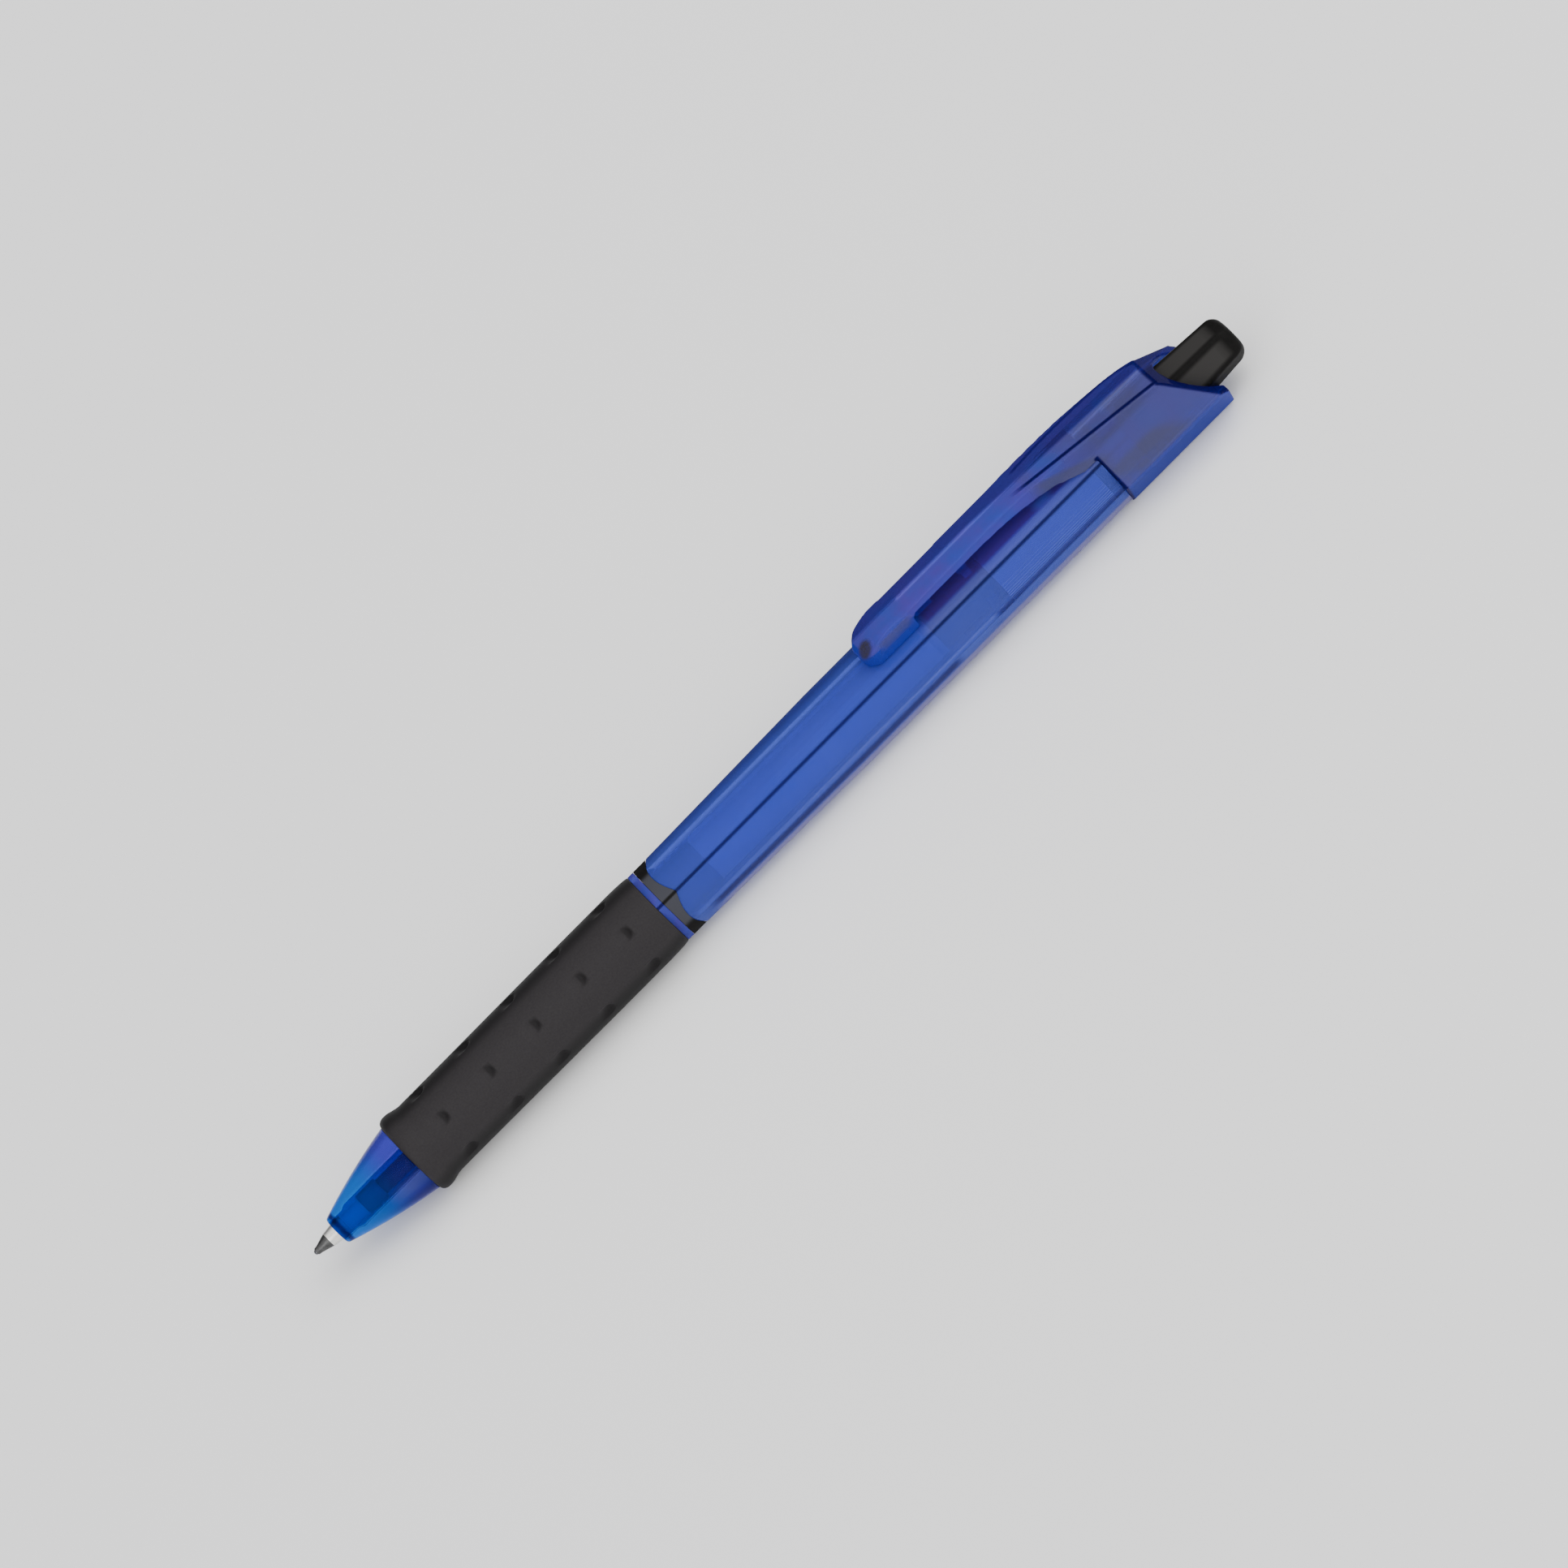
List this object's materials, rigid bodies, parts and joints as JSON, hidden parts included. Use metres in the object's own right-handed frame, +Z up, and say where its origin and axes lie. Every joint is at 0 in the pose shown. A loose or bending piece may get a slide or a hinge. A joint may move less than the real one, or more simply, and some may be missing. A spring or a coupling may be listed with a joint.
{
  "type": "gel pen",
  "caption": "Retractable gel pen with translucent four-sided barrel, dimpled rubber grip, sprung pocket clip and push button.",
  "frame": {"origin": "under the middle of the pen's length, on the surface it lies on, below its axis", "axes": "+X from the writing tip to the push button, +Z up through the pocket clip, +Y completes a right-handed frame"},
  "size_m": [0.144, 0.0114, 0.0129],
  "materials": {
    "blue_shell": "translucent, polished",
    "black_rubber": "soft matte",
    "black_plastic": "satin",
    "grey_plastic": "moulded",
    "clear_plastic": "clear",
    "pale_plastic": "moulded",
    "blue_ink": "wet gel",
    "clear_grease": "soft gel",
    "stainless_steel": "fine turned",
    "nickel_silver": "turned and polished",
    "tungsten_carbide": "polished"
  },
  "bodies": {
    "barrel": {"rear_barrel": "blue_shell", "top_housing": "blue_shell", "cam_sleeve": "clear_plastic"},
    "clip": {"clip_arm": "blue_shell"},
    "button": {"push_button": "black_plastic", "plunger_tube": "black_plastic"},
    "rotor": {"cam_rotor": "grey_plastic"},
    "refill": {"writing_ball": "tungsten_carbide", "tip_cone": "stainless_steel", "ball_spring": "stainless_steel", "tip_holder": "nickel_silver", "refill_adapter": "pale_plastic", "ink_tube": "clear_plastic", "gel_ink": "blue_ink", "follower_grease": "clear_grease", "tail_plug": "pale_plastic"},
    "ring": {"trim_ring": "black_plastic"},
    "front": {"nose_cone": "blue_shell", "rubber_grip": "black_rubber", "return_spring": "stainless_steel"}
  },
  "joints": [
    {"name": "button_slide", "type": "slide", "parent": "barrel", "child": "button", "axis": [1, 0, 0], "range_m": [-0.0012, 0.0055], "stiffness_N_per_m": 200},
    {"name": "refill_slide", "type": "slide", "parent": "barrel", "child": "refill", "axis": [1, 0, 0], "range_m": [-0.0012, 0.0055], "deforming": ["return_spring"]},
    {"name": "rotor_turn", "type": "hinge", "parent": "button", "child": "rotor", "pos_m": [0.029, 0, 0.0053], "axis": [1, 0, 0], "continuous": true},
    {"name": "clip_flex", "type": "hinge", "parent": "barrel", "child": "clip", "pos_m": [0.044, 0, 0.0118], "axis": [0, 1, 0], "range_deg": [0, 5], "stiffness_Nm_per_rad": 0.7},
    {"name": "ring_slide", "type": "slide", "parent": "barrel", "child": "ring", "axis": [1, 0, 0], "range_m": [-0.005, 0]},
    {"name": "front_unscrew", "type": "hinge", "parent": "ring", "child": "front", "pos_m": [-0.032, 0, 0.0053], "axis": [1, 0, 0], "range_deg": [-1445, 0]}
  ],
  "couplings": [
    {"joint": "refill_slide", "follows": "button_slide", "ratio": 1},
    {"joint": "front_unscrew", "follows": "ring_slide", "rad_per_m": 5026.5}
  ]
}
